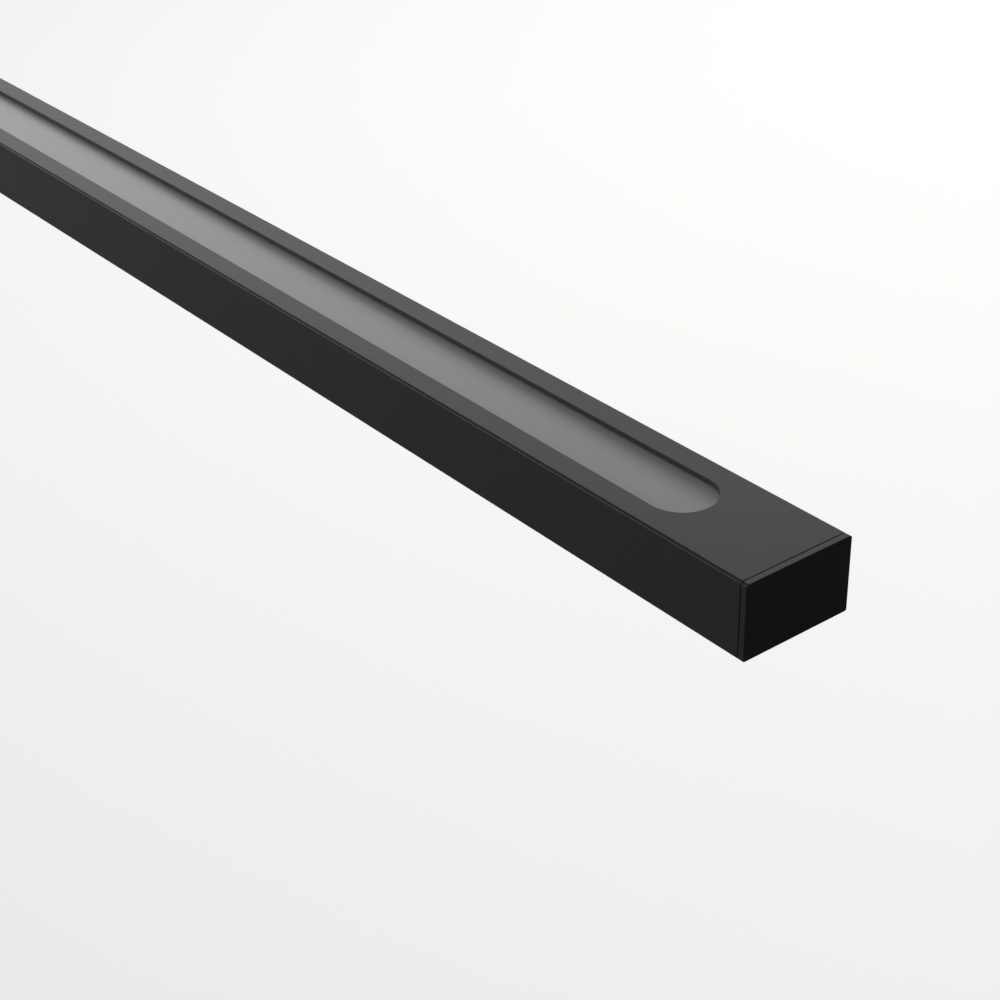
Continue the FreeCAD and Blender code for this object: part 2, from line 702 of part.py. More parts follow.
def make_earth_tag():
    """Ring tag under the earth screw, with a crimp barrel for the lead."""
    body = new_body("earth_tag")
    low = "(web_level - tag_thickness)"
    slab(body, "ring", low, "tag_thickness", [circle("earth_x", "earth_y", "tag_radius")])
    barrel_low = "earth_x - tag_radius - 5"
    run(body, "barrel", barrel_low, "6", [circle("earth_y", "web_level - 1.6", "1.6")])
    run(body, "barrel_bore", f"{barrel_low} - 1", "6",
        [circle("earth_y", "web_level - 1.6", "mains_lead_radius + 0.05")], cut=True)
    slab(body, "screw_hole", f"{low} - 3", "tag_thickness + 4",
         [circle("earth_x", "earth_y", "screw_hole_radius")], cut=True)


# ---------------------------------------------------------------- insulated leads


def rounded_path(points):
    """Straight runs joined by tangent arcs, each as large as its two runs allow."""
    edges = []
    start = points[0]
    for before, corner, after in zip(points, points[1:], points[2:]):
        back = (before - corner).normalize()
        onward = (after - corner).normalize()
        half_angle = back.getAngle(onward) / 2
        trim = 0.45 * min((before - corner).Length, (after - corner).Length)
        radius = trim * math.tan(half_angle)
        bisector = (back + onward).normalize()
        middle = corner + bisector * (trim / math.cos(half_angle) - radius)
        arc_start = corner + back * trim
        arc_end = corner + onward * trim
        edges.append(Part.LineSegment(start, arc_start).toShape())
        edges.append(Part.Arc(arc_start, middle, arc_end).toShape())
        print(f"    bend radius {radius:.1f} mm")
        start = arc_end
    edges.append(Part.LineSegment(start, points[-1]).toShape())
    return Part.Wire(edges)


def make_lead(label, radius, spots):
    """One insulated lead: a round tube of constant section swept along its route."""
    points = [FreeCAD.Vector(*spot) for spot in spots]
    path = rounded_path(points)
    ring = Part.Circle(points[0], points[1] - points[0], radius)
    tube = path.makePipeShell([Part.Wire(ring.toShape())], True, False)
    lead = doc.addObject("Part::Feature", label)
    lead.Label = label
    lead.Shape = tube
    lead.Placement = FreeCAD.Placement()
    expected = math.pi * radius**2 * path.Length
    print(f"{label}: {path.Length:.1f} mm long, volume {tube.Volume / expected:.4f} of section times length")


def make_leads():
    pole = size("pole_level")
    pitch = size("pole_pitch")
    block_end = size("block_start") + size("block_length")
    inlet = size("driver_start") + 16
    outlet = size("driver_start") + size("driver_length") - 16
    notch = size("driver_floor_level") + 5.5
    board_under = size("web_level") - size("driver_base_thickness") - size("driver_board_thickness")
    mains = size("mains_lead_radius")
    make_lead("live_lead", mains, [
        (block_end - 5, -pitch, pole),
        (block_end + 12, -pitch, pole),
        (block_end + 28, -pitch + 3, pole - 0.5),
        (inlet - 20, -2.6, notch),
        (inlet, -2.6, notch),
        (inlet, -2.6, board_under),
    ])
    make_lead("neutral_lead", mains, [
        (block_end - 5, 0, pole),
        (block_end + 10, 0, pole),
        (block_end + 28, 1.2, pole - 0.8),
        (inlet - 20, 2.4, notch),
        (inlet, 2.4, notch),
        (inlet, 2.4, board_under),
    ])
    earth_x = size("earth_x")
    earth_y = size("earth_y")
    tag_level = size("web_level") - 1.6
    make_lead("earth_lead", mains, [
        (block_end - 5, pitch, pole),
        (block_end + 4, pitch, pole),
        (block_end + 10, earth_y - 2, tag_level - 0.8),
        (earth_x - 13, earth_y, tag_level),
        (earth_x - 5, earth_y, tag_level),
    ])
    lamp = size("lamp_lead_radius")
    rise = size("lead_hole_centre")
    board_end = 1.5 * size("board_length") + size("board_gap")
    board_top = size("web_level") + size("web_thickness") + size("board_thickness")
    for label, side in (("lamp_plus_lead", 1), ("lamp_minus_lead", -1)):
        offset = side * size("lamp_lead_offset")
        make_lead(label, lamp, [
            (outlet, 2.5 * side, board_under),
            (outlet, 2.5 * side, notch),
            (outlet + 24, 2.5 * side, notch),
            (outlet + 52, 2.5 * side + 3, notch + 0.6),
            (outlet + 82, 1.8 * side + 1, notch - 0.4),
            (rise - 18, offset, notch - 1),
            (rise, offset, notch - 1),
            (rise, offset, board_top + 4),
            (board_end - 5, 3 * side, board_top + 4),
            (board_end - 5, 3 * side, board_top + 0.05),
        ])


# ---------------------------------------------------------------- the whole bar

make_housing()
make_front_panel()
make_light_seal()
make_diffuser()
for side_name, side in (("left", -1), ("right", 1)):
    make_end_cap(f"end_cap_{side_name}", side)
    make_end_seal(f"end_seal_{side_name}", side)
for number, centre in enumerate(board_centres, start=1):
    make_board(f"lamp_board_{number}", centre)
    make_chips(f"lamp_chips_{number}", centre)
make_board_links()
make_wall_bracket()
make_grommet(
    "cable_grommet", "0", "boss_rise", "bracket_sheet", "cable_hole_radius",
    "grommet_flange_radius", "grommet_flange", "grommet_bore_radius",
)
make_grommet(
    "lead_grommet", "lead_hole_centre", "web_level", "web_thickness", "lead_hole_radius",
    "lead_flange_radius", "lead_flange", "lead_bore_radius",
)
make_set_screws()
make_driver()
make_terminal_block()
make_earth_tag()
pan_screws("board_screws", board_screw_spots, BOARD_TOP, SCREW_END, head_below=False)
web_end = f"({WEB_TOP} - 0.1)"
pan_screws("end_cap_screws", cap_screw_spots, "tongue_level", web_end, head_below=True)
pan_screws("driver_screws", driver_screw_spots, DRIVER_LID_LEVEL, web_end, head_below=True)
pan_screws("terminal_block_screws", block_screw_spots, BLOCK_FOOT, web_end, head_below=True)
pan_screws("earth_screw", earth_screw_spots, "(web_level - tag_thickness)", web_end, head_below=True)
make_leads()

doc.recompute()

# ---------------------------------------------------------------- checks and export

for item in doc.Objects:
    if {"Invalid", "Error"} & set(item.State):
        raise RuntimeError(f"{item.Name} did not rebuild: {item.State}")
    if item.TypeId == "PartDesign::Pocket":
        removed = item.BaseFeature.Shape.Volume - item.Shape.Volume
        if removed < 0.01:
            raise RuntimeError(f"{item.Name} removes nothing")

pieces = [item for item in doc.Objects if item.TypeId in ("PartDesign::Body", "Part::Feature")]
os.makedirs("parts", exist_ok=True)
for piece in pieces:
    if piece.Shape.isNull() or not piece.Shape.isValid():
        raise RuntimeError(f"{piece.Label} has no valid shape")
for piece in pieces:
    piece.Shape.exportStep(f"parts/{piece.Label}.step")
    box = piece.Shape.BoundBox
    print(
        f"{piece.Label}: {len(piece.Shape.Solids)} solid, {piece.Shape.Volume:.1f} mm3, "
        f"X {box.XMin:.1f}..{box.XMax:.1f} Y {box.YMin:.1f}..{box.YMax:.1f} Z {box.ZMin:.1f}..{box.ZMax:.1f}"
    )
print(f"{len(pieces)} nodes")
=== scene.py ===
# %% [markdown]
# # A slim wall light bar, lesson by lesson
# The bar is an aluminium channel with a snapped-in front panel, a long frosted light window,
# two flat end caps and a folded steel bracket that closes the back. The measured parts come
# from the CAD frame. This script gives each of them its finish, and it builds the pieces whose
# looks need more than a plain solid: screws, lamps, rubber bushes and the driver's components.

# %% Load the measured frame
import math

import bmesh
import bpy
from mathutils import Euler, Matrix, Vector


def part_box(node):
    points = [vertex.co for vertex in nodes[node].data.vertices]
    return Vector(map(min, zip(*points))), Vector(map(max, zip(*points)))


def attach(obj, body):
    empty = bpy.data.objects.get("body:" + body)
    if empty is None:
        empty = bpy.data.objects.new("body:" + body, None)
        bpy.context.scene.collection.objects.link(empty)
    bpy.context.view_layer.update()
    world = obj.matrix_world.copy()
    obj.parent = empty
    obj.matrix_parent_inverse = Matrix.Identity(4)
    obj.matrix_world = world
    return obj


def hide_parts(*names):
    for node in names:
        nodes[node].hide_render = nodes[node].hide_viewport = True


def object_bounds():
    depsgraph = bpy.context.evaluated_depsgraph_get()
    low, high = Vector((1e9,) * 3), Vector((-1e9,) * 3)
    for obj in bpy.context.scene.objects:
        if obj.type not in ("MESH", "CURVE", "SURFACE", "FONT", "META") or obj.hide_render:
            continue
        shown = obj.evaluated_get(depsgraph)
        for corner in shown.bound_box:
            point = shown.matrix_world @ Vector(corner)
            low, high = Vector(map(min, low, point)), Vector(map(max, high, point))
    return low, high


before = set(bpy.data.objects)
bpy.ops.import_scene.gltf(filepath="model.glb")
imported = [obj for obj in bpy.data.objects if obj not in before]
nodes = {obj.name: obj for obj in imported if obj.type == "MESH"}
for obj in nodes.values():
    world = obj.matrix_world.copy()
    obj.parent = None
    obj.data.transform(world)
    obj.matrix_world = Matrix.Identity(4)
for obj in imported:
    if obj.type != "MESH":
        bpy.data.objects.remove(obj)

MM = 0.001
cad_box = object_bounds()
box_sides = [round(side / MM, 1) for side in cad_box[1] - cad_box[0]]
print("frame:", len(nodes), "nodes in a box of", box_sides, "mm")

# %% [markdown]
# ## Camera
# A 70 mm lens about 0.67 m from the near end sees the bar run away to the upper left. The camera
# comes first, so that every later step can be judged through it.

# %% Place the camera
camera_data = bpy.data.cameras.new("camera")
camera_data.lens = 69.83
camera_data.sensor_width = 36.0
camera = bpy.data.objects.new("camera", camera_data)
camera.location = (0.829, -0.4123, 0.3781)
camera.rotation_euler = Euler([math.radians(turn) for turn in (59.785, 1.35, 52.12)])
bpy.context.scene.collection.objects.link(camera)
bpy.context.scene.camera = camera
print("camera at", [round(part, 3) for part in camera.location])

# %% [markdown]
# ## Two helpers for every node tree
# Colours are written as the hex codes that a colour picker shows. A shader works in linear
# light, so one function converts them. A second function adds a node of any kind, sets its
# properties, and fills or links its inputs. Every recipe below is then a short list of nodes.

# %% Colour and node helpers
def linear(hex_code):
    """The linear colour, with alpha 1, of an sRGB hex code such as "#202120"."""
    parts = [int(hex_code[start:start + 2], 16) / 255 for start in (1, 3, 5)]
    return [part / 12.92 if part <= 0.04045 else ((part + 0.055) / 1.055) ** 2.4 for part in parts] + [1.0]


def add(tree, kind, inputs=None, out=None, **settings):
    """Add a node, and return it, or only its output called out."""
    node = tree.nodes.new(kind)
    for name, value in settings.items():
        setattr(node, name, value)
    for key, value in (inputs or {}).items():
        if isinstance(value, bpy.types.NodeSocket):
            tree.links.new(value, node.inputs[key])
        else:
            node.inputs[key].default_value = value
    return node if out is None else node.outputs[out]


# %% [markdown]
# ## A recipe that most finishes start from
# Sprayed, moulded, plated and rubbed surfaces all share two things. Their colour drifts a
# little over centimetres, and a fine relief breaks up the highlight. The recipe takes both
# sizes in millimetres and reads Object coordinates, so a pattern keeps its scale on every
# piece. It returns what a special finish needs in order to add its own layer.

# %% The shared recipe
def start_finish(name, colours, cloud_mm, shine, relief_mm, depth_mm, **numbers):
    """Material, tree, shader, place, colour and relief of a finish with drift and fine relief."""
    material = bpy.data.materials.new(name)
    material.use_nodes = True
    tree = material.node_tree
    shader = tree.nodes["Principled BSDF"]
    for key, value in numbers.items():
        shader.inputs[key.replace("_", " ")].default_value = value
    place = add(tree, "ShaderNodeTexCoord", out="Object")
    cloud_inputs = {"Vector": place, "Scale": 1 / (cloud_mm * MM), "Detail": 3.0}
    cloud = add(tree, "ShaderNodeTexNoise", cloud_inputs, out="Fac")
    mix_inputs = {0: cloud, 6: linear(colours[0]), 7: linear(colours[1])}
    colour = add(tree, "ShaderNodeMix", mix_inputs, out=2, data_type="RGBA")
    relief_inputs = {"Vector": place, "Scale": 1 / (relief_mm * MM), "Detail": 4.0}
    relief = add(tree, "ShaderNodeTexNoise", relief_inputs, out="Fac")
    rough_inputs = {"Value": relief, "To Min": shine[0], "To Max": shine[1]}
    rough = add(tree, "ShaderNodeMapRange", rough_inputs, out="Result")
    bump_inputs = {"Height": relief, "Strength": 0.4, "Distance": depth_mm * MM}
    tilt = add(tree, "ShaderNodeBump", bump_inputs, out="Normal")
    tree.links.new(colour, shader.inputs["Base Color"])
    tree.links.new(rough, shader.inputs["Roughness"])
    tree.links.new(tilt, shader.inputs["Normal"])
    return material, tree, shader, place, colour, relief


def coat(material, *names):
    """Give CAD nodes a finish through their own material slots."""
    for name in names:
        slots = nodes[name].data.materials
        slots.clear()
        slots.append(material)
    print(material.name, "on", ", ".join(names))


# %% [markdown]
# ## Satin black powder coat
# The shell is extruded aluminium, sprayed with black polyester powder and baked at 200 degrees.
# The baked skin is a dielectric: nearly black in itself, with a broad soft sheen. A very fine
# orange peel, about 0.7 mm across, keeps that sheen from looking like glass. Faces seen at a
# low angle turn grey, because the sheen grows there.

# %% Shell finish
shell_finish = start_finish(
    "satin_black_powder_coat", ("#1d201e", "#232624"), 22.0, (0.5, 0.6), 0.7, 0.02,
    IOR=1.5, Specular_IOR_Level=0.4,
)[0]
coat(shell_finish, "housing", "front_panel", "end_cap_left", "end_cap_right")

# %% [markdown]
# ## Frosted opal acrylic
# The diffuser is cast acrylic with fine white pigment and a satin front. Unlit, it looks grey,
# because most of the light that enters it sinks in. A mostly transmissive sheet would be truer
# inside, but the white boards behind make it too bright and too even. A grey body that lets a
# little light through, under a strong satin gloss, gives the real one's brightening along the
# bar. The frost is finer than can be seen, so it is drawn 0.25 mm across.

# %% Diffuser finish
diffuser_finish = start_finish(
    "frosted_opal_acrylic", ("#858282", "#807d7d"), 40.0, (0.42, 0.48), 0.25, 0.004,
    IOR=1.49, Specular_IOR_Level=1.0, Transmission_Weight=0.1,
)[0]
coat(diffuser_finish, "diffuser")

# %% [markdown]
# ## Foam and rubber
# The seals are closed-cell foam, cut from a sheet, so cells about 0.3 mm wide show as pits. A
# Voronoi pattern makes the pits. The cable bushes are moulded rubber: smoother, with a dusty
# bloom that is slightly lighter in patches.

# %% Foam and rubber finishes
foam_finish, tree, shader, place, colour, relief = start_finish(
    "closed_cell_neoprene_foam", ("#131313", "#1c1c1b"), 8.0, (0.85, 0.97), 0.5, 0.02,
    IOR=1.5, Specular_IOR_Level=0.3,
)
cells = add(tree, "ShaderNodeTexVoronoi", {"Vector": place, "Scale": 1 / (0.3 * MM)}, out="Distance")
pits = add(tree, "ShaderNodeBump", {"Height": cells, "Strength": 0.7, "Distance": 0.1 * MM}, out="Normal")
tree.links.new(pits, shader.inputs["Normal"])
coat(foam_finish, "light_seal", "end_seal_left", "end_seal_right")

rubber_finish = start_finish(
    "moulded_nitrile_rubber", ("#191919", "#262625"), 5.0, (0.55, 0.78), 0.35, 0.01, IOR=1.52,
)[0]

# %% [markdown]
# ## White lamp boards
# Each board is aluminium with an etched copper layer under white solder mask. The mask is thin,
# so the copper bands under it stand up a little and look faintly warmer. Two bands run beside
# the lamps. They follow from the distance to the middle line, so Object coordinates are enough.

# %% Board finish
board_finish, tree, shader, place, colour, relief = start_finish(
    "white_solder_mask", ("#e9eae6", "#e1e2de"), 18.0, (0.32, 0.45), 0.6, 0.006, IOR=1.54,
)
across = add(tree, "ShaderNodeSeparateXYZ", {0: place}, out="Y")
side_gap = add(tree, "ShaderNodeMath", {0: across}, out=0, operation="ABSOLUTE")
band = add(tree, "ShaderNodeMath", {0: side_gap, 1: 3.9 * MM, 2: 1.6 * MM}, out=0, operation="COMPARE")
tint_inputs = {0: band, 6: colour, 7: linear("#dcd8c8")}
tinted = add(tree, "ShaderNodeMix", tint_inputs, out=2, data_type="RGBA")
raised_inputs = {"Height": band, "Strength": 0.6, "Distance": 0.035 * MM}
raised = add(tree, "ShaderNodeBump", raised_inputs, out="Normal")
tree.links.new(tinted, shader.inputs["Base Color"])
tree.links.new(raised, shader.inputs["Normal"])
coat(board_finish, "lamp_board_1", "lamp_board_2", "lamp_board_3")

# %% [markdown]
# ## Zinc plate, black oxide, brass and tin
# The folded bracket is pressed from zinc-coated steel, whose crystals show as pale and dark
# flakes a few millimetres wide: the spangle. Screws are plated after forming, so their flakes
# are too small to see and only the drift remains. Metals keep the default IOR.

# %% Metal finishes
zinc_sheet, tree, shader, place, colour, relief = start_finish(
    "hot_dip_zinc_coated_steel", ("#a7a9ab", "#b8babb"), 30.0, (0.3, 0.44), 0.8, 0.006, Metallic=1.0,
)
flakes = add(tree, "ShaderNodeTexVoronoi", {"Vector": place, "Scale": 1 / (4.0 * MM)}, out="Color")
flake_tone = add(tree, "ShaderNodeSeparateColor", {0: flakes}, out=0)
spangle_inputs = {0: flake_tone, 6: colour, 7: linear("#8d9092")}
spangle = add(tree, "ShaderNodeMix", spangle_inputs, out=2, data_type="RGBA")
flake_shine = add(tree, "ShaderNodeMapRange", {0: flake_tone, "To Min": 0.28, "To Max": 0.46}, out=0)
tree.links.new(spangle, shader.inputs["Base Color"])
tree.links.new(flake_shine, shader.inputs["Roughness"])
coat(zinc_sheet, "wall_bracket")

zinc_screw = start_finish(
    "bright_zinc_plate", ("#a9acb0", "#c0c1bf"), 1.5, (0.22, 0.36), 0.2, 0.004, Metallic=1.0,
)[0]
oxide_screw = start_finish(
    "black_oxide_steel", ("#1a1b1d", "#2a2b2d"), 1.2, (0.35, 0.5), 0.2, 0.004, Metallic=1.0,
)[0]
brass_finish = start_finish(
    "turned_brass", ("#c6a45c", "#b8934a"), 2.5, (0.25, 0.38), 0.15, 0.004, Metallic=1.0,
)[0]
tin_finish = start_finish(
    "tinned_copper", ("#c3c2bb", "#aeaca4"), 2.0, (0.3, 0.45), 0.2, 0.005, Metallic=1.0,
)[0]
coat(brass_finish, "terminal_sleeves")
coat(tin_finish, "earth_tag")

# %% [markdown]
# ## Moulded nylon
# The driver's case, the terminal block and the board links are injection-moulded nylon: white
# with a warm cast and a spark-eroded texture, grains about 0.4 mm wide.

# %% Nylon finish
nylon_finish = start_finish(
    "moulded_nylon", ("#e6e2d8", "#dcd8cd"), 14.0, (0.42, 0.58), 0.4, 0.015, IOR=1.53,
)[0]
coat(nylon_finish, "driver_base", "driver_cover", "terminal_block")

# %% [markdown]
# ## The driver's components
# The board is glass laminate under green solder mask, and its woven glass shows as a faint grid
# with threads 0.5 mm apart. The other parts are the usual ones of a small supply: yellow
# polyester tape round the transformer, grey ferrite, dipped film capacitors, moulded epoxy.

# %% Laminate, tape and epoxy finishes
laminate_finish, tree, shader, place, colour, relief = start_finish(
    "green_glass_laminate", ("#0f4a2a", "#155a33"), 9.0, (0.25, 0.4), 0.5, 0.004, IOR=1.54,
)
weave = add(tree, "ShaderNodeTexChecker", {"Vector": place, "Scale": 1 / (0.5 * MM)}, out="Fac")
woven = add(tree, "ShaderNodeMix", {0: weave, 6: colour, 7: linear("#1b6a3d")}, out=2, data_type="RGBA")
tree.links.new(woven, shader.inputs["Base Color"])
coat(laminate_finish, "driver_board")

tape_finish, tree, shader, place, colour, relief = start_finish(
    "yellow_polyester_tape", ("#d9b432", "#c9a225"), 4.0, (0.2, 0.35), 0.6, 0.01, IOR=1.6,
)
layers = add(
    tree, "ShaderNodeTexWave",
    {"Vector": place, "Scale": 1 / (1.3 * MM * 20), "Distortion": 0.6}, out="Fac", bands_direction="Z",
)
wound = add(tree, "ShaderNodeMix", {0: layers, 6: colour, 7: linear("#a8841a")}, out=2, data_type="RGBA")
tree.links.new(wound, shader.inputs["Base Color"])

ferrite_finish = start_finish(
    "sintered_ferrite", ("#2b2b2d", "#38383a"), 2.0, (0.5, 0.7), 0.12, 0.01, IOR=2.0,
)[0]
film_finish = start_finish(
    "dipped_epoxy_film_capacitor", ("#b9741c", "#a86212"), 3.0, (0.15, 0.28), 0.9, 0.03, IOR=1.55,
)[0]
epoxy_finish = start_finish(
    "moulded_black_epoxy", ("#1a1a1b", "#232324"), 1.0, (0.45, 0.6), 0.08, 0.004, IOR=1.55,
)[0]
fuse_finish = start_finish(
    "moulded_brown_thermoplastic", ("#5b4a3b", "#4d3e31"), 1.5, (0.3, 0.42), 0.15, 0.004, IOR=1.55,
)[0]
sleeve_finish = start_finish(
    "shrunk_vinyl_sleeve", ("#151a2b", "#1d2338"), 3.0, (0.18, 0.3), 0.5, 0.008, IOR=1.54,
)[0]
enamel_finish = start_finish(
    "enamelled_copper_wire", ("#8a3f1d", "#a04f26"), 1.5, (0.2, 0.32), 0.3, 0.01, Metallic=0.6, IOR=1.55,
)[0]
print("eight component finishes ready")

# %% [markdown]
# ## Lead insulation
# The leads are copper in extruded vinyl, coloured by their job. Vinyl is soft and glossy with
# faint draw marks. The earth lead is green and yellow. Here a slow diagonal wave goes from one
# colour to the other, which is close enough for a short lead that is hidden inside.

# %% Insulation finishes
INSULATION = {
    "live_lead": ("brown_vinyl_insulation", "#5a3420", "#4c2b19"),
    "neutral_lead": ("blue_vinyl_insulation", "#1c5aa8", "#184e94"),
    "earth_lead": ("green_vinyl_insulation", "#2f7d32", "#28702c"),
    "lamp_plus_lead": ("red_vinyl_insulation", "#a81c18", "#951713"),
    "lamp_minus_lead": ("black_vinyl_insulation", "#1b1b1b", "#242424"),
}
for lead, (name, first, second) in INSULATION.items():
    vinyl, tree, shader, place, colour, relief = start_finish(
        name, (first, second), 6.0, (0.28, 0.4), 0.5, 0.006, IOR=1.54,
    )
    if lead == "earth_lead":
        along = {"Vector": place, "Scale": 1 / (6.0 * MM * 20), "Distortion": 1.0}
        stripe = add(tree, "ShaderNodeTexWave", along, out="Fac", bands_direction="DIAGONAL")
        is_yellow = add(tree, "ShaderNodeMath", {0: stripe, 1: 0.62}, out=0, operation="GREATER_THAN")
        striped_inputs = {0: is_yellow, 6: colour, 7: linear("#e3c81e")}
        striped = add(tree, "ShaderNodeMix", striped_inputs, out=2, data_type="RGBA")
        tree.links.new(striped, shader.inputs["Base Color"])
    coat(vinyl, lead)

# %% [markdown]
# ## Turned shapes
# Screws, bushes and capacitor cans are all turned about an axis, so one lathe function makes
# them. It walks a profile of radius and level, in millimetres, round the axis. A profile that
# starts and ends on the axis gives a solid, and a closed profile away from it gives a ring.

# %% The lathe
def turn_profile(name, profile, sides, ring=False):
    """A mesh object turned about Z from (radius, level) pairs in millimetres."""
    shape = bmesh.new()
    loops = []
    for radius, level in profile:
        if radius == 0:
            loops.append([shape.verts.new((0, 0, level * MM))])
            continue
        turns = [2 * math.pi * step / sides for step in range(sides)]
        loops.append([
            shape.verts.new((radius * MM * math.cos(turn), radius * MM * math.sin(turn), level * MM))
            for turn in turns
        ])
    pairs = list(zip(loops, loops[1:] + loops[:1])) if ring else list(zip(loops, loops[1:]))
    for lower, upper in pairs:
        for step in range(sides):
            onward = (step + 1) % sides
            corners = [lower[step % len(lower)], lower[onward % len(lower)],
                       upper[onward % len(upper)], upper[step % len(upper)]]
            shape.faces.new(list(dict.fromkeys(corners)))
    bmesh.ops.recalc_face_normals(shape, faces=shape.faces)
    mesh = bpy.data.meshes.new(name)
    shape.to_mesh(mesh)
    shape.free()
    turned = bpy.data.objects.new(name, mesh)
    bpy.context.scene.collection.objects.link(turned)
    return turned


def baked(piece, name):
    """A plain mesh object of what piece looks like with its modifiers; piece itself is removed."""
    depsgraph = bpy.context.evaluated_depsgraph_get()
    mesh = bpy.data.meshes.new_from_object(piece.evaluated_get(depsgraph))
    bpy.data.objects.remove(piece)
    mesh.name = name
    result = bpy.data.objects.new(name, mesh)
    bpy.context.scene.collection.objects.link(result)
    return result


def settle(piece, slot, *replaced):
    """Smooth a finished piece and tell the frame what it rides on and stands for; slot, what it is made of,
    is not used.
    """
    piece.data.set_sharp_from_angle(angle=math.radians(32))
    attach(piece, "root")
    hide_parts(*replaced)
    piece.data.calc_loop_triangles()
    print(piece.name, len(piece.data.loop_triangles), "triangles")


# %% [markdown]
# ## Cutting a drive recess
# A recess is pressed into a screw head by a punch. The same punch is made here as a mesh and
# taken away with a Boolean modifier, once per kind of screw, before the screw is repeated.

# %% Recess punches
def punch(name, arms, length, width, top, depth):
    """Tapered bars crossed at the axis (arms = 1 for a slot, 2 for a cross), in millimetres."""
    shape = bmesh.new()
    for arm in range(arms):
        made = bmesh.ops.create_cube(shape, size=MM)["verts"]
        for vert in made:
            low = vert.co.z < 0
            taper = 0.45 if low and arms > 1 else 1.0
            vert.co.x *= length * taper
            vert.co.y *= width
            vert.co.z = (top - depth if low else top + 0.5) * MM
        bmesh.ops.rotate(shape, verts=made, matrix=Matrix.Rotation(math.pi / 2 * arm, 3, "Z"))
    mesh = bpy.data.meshes.new(name)
    shape.to_mesh(mesh)
    shape.free()
    tool = bpy.data.objects.new(name, mesh)
    bpy.context.scene.collection.objects.link(tool)
    return tool


def press(piece, tool, name):
    """Take the punch's shape out of a piece."""
    cut = piece.modifiers.new("recess", "BOOLEAN")
    cut.operation = "DIFFERENCE"
    cut.solver = "EXACT"
    cut.use_self = True
    cut.object = tool
    result = baked(piece, name)
    bpy.data.objects.remove(tool)
    return result


def thread(crest, root, low, high, pitch=0.5):
    """Profile points of a thread from low to high, one crest per pitch."""
    turns = round((high - low) / pitch)
    points = []
    for step in range(turns):
        level = low + step * pitch
        points += [(root, level), (crest, level + 0.4 * pitch), (crest, level + 0.6 * pitch)]
    return points + [(root, high)]


# %% [markdown]
# ## Repeating a piece on its spots
# The same screw sits in many places, so Geometry Nodes repeat it. The modifier is on a mesh of
# bare points, one per place. The tree puts an instance of the part on each, turns the instances
# into real mesh, and sets the finish. Sizes and parts arrive as named inputs.

# %% The repeating tree
def build_repeat_tree():
    tree = bpy.data.node_groups.new("repeat_on_spots", "GeometryNodeTree")
    sockets = {}
    for name, kind in (("Spots", "NodeSocketGeometry"), ("Part", "NodeSocketObject"),
                       ("Finish", "NodeSocketMaterial"), ("Scale", "NodeSocketFloat")):
        sockets[name] = tree.interface.new_socket(name, in_out="INPUT", socket_type=kind).identifier
    tree.interface.new_socket("Result", in_out="OUTPUT", socket_type="NodeSocketGeometry")
    given = add(tree, "NodeGroupInput").outputs
    part = add(tree, "GeometryNodeObjectInfo", {"Object": given["Part"]}, out="Geometry")
    placed = add(
        tree, "GeometryNodeInstanceOnPoints",
        {"Points": given["Spots"], "Instance": part, "Scale": given["Scale"]}, out="Instances",
    )
    real = add(tree, "GeometryNodeRealizeInstances", {"Geometry": placed}, out="Geometry")
    finish = {"Geometry": real, "Material": given["Finish"]}
    coated = add(tree, "GeometryNodeSetMaterial", finish, out="Geometry")
    add(tree, "NodeGroupOutput", {"Result": coated})
    return tree, sockets


repeat_tree, repeat_sockets = build_repeat_tree()


def repeat_on_spots(name, part, spots, finish):
    """One plain mesh with the part on each spot; the part itself is removed."""
    cloud = bpy.data.meshes.new(name)
    cloud.from_pydata([tuple(spot) for spot in spots], [], [])
    holder = bpy.data.objects.new(name, cloud)
    bpy.context.scene.collection.objects.link(holder)
    modifier = holder.modifiers.new("repeat", "NODES")
    modifier.node_group = repeat_tree
    modifier[repeat_sockets["Part"]] = part
    modifier[repeat_sockets["Finish"]] = finish
    modifier[repeat_sockets["Scale"]] = 1.0
    result = baked(holder, name)
    bpy.data.objects.remove(part)
    return result


print("repeating tree inputs:", ", ".join(repeat_sockets))

# %% [markdown]
# ## Pan head screws
# The boards, caps, driver, terminal block and earth tag are held by M3 pan head screws. Each
# has a low dome, a pressed cross recess and a rolled thread with a 0.5 mm pitch. The CAD solids
# say where each group sits and how long its shanks are. Some point up and some point down.

# %% Make the pan head screws
HEAD_RADIUS = 2.75
HEAD_RISE = 1.8
SCREW_SIDES = 28


def pan_head_screw(name, shank, head_below):
    """An M3 pan head screw whose seat is at Z = 0, with its head above or below."""
    end = -shank
    profile = [(0, end), (0.95, end), (1.2, end + 0.25)]
    profile += thread(1.45, 1.2, end + 0.3, -0.2)
    profile += [(1.3, 0), (2.6, 0), (2.75, 0.15), (2.75, 0.7), (2.62, 1.1), (2.2, 1.5), (1.4, 1.74), (0, 1.8)]
    screw = turn_profile(name, profile, SCREW_SIDES)
    screw = press(screw, punch(name + "_punch", 2, 3.0, 0.7, HEAD_RISE, 1.2), name)
    if head_below:
        screw.data.transform(Matrix.Rotation(math.pi, 4, "X"))
    return screw


def corner_spots(node, level):
    """The spots of a group of screws at the corners of the node's own box."""
    low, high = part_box(node)
    margin = HEAD_RADIUS * MM
    places = {
        (round(x, 6), round(y, 6))
        for x in (low[0] + margin, high[0] - margin)
        for y in (low[1] + margin, high[1] - margin)
    }
    return [(x, y, level) for x, y in sorted(places)]


